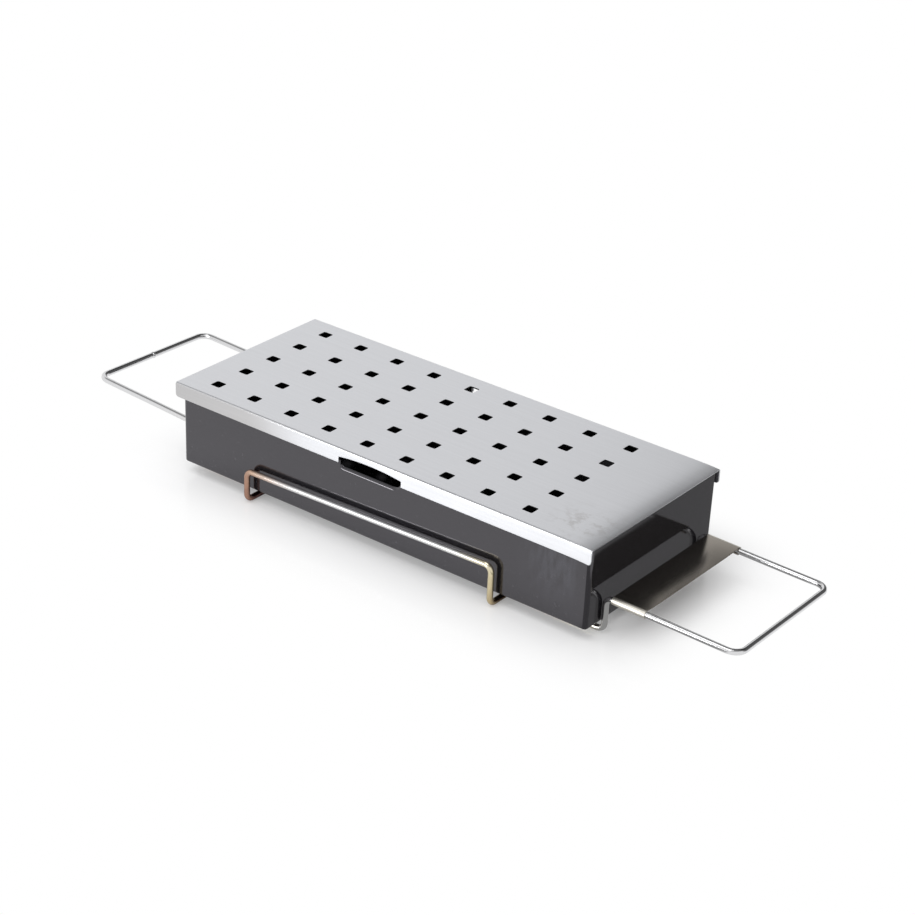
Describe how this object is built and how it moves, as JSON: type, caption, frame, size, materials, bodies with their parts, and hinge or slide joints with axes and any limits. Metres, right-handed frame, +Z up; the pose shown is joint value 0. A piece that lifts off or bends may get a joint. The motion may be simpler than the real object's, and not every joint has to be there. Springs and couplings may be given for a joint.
{
  "type": "smoker box",
  "caption": "Grill smoker box: drawn steel tray with a loose perforated lid, lifted out of a bent wire cradle that has a handle loop at each end.",
  "frame": {"origin": "on the surface the wire rests on, under the middle of the box", "axes": "+X along the box towards the handle with the plate, -Y the front with a rail, +Z up"},
  "size_m": [0.4303, 0.1232, 0.0537],
  "materials": {
    "black_enamel": "semi-gloss black enamel with a slight orange peel",
    "brushed_sheet": "fine straight brushing, satin",
    "plated_wire": "bright plated wire, heat tinted from straw to copper near the welds"
  },
  "bodies": {
    "cradle": {"wire_cradle": "plated_wire", "cross_wire_left": "plated_wire", "cross_wire_right": "plated_wire", "handle_plate": "brushed_sheet"},
    "tray": {"tray": "black_enamel"},
    "lid": {"lid": "brushed_sheet"}
  },
  "joints": [
    {"name": "tray_lift", "type": "slide", "parent": "cradle", "child": "tray", "axis": [0, 0, 1], "range_m": [0, 0.08]},
    {"name": "lid_lift", "type": "slide", "parent": "tray", "child": "lid", "axis": [0, 0, 1], "range_m": [0, 0.1]}
  ]
}
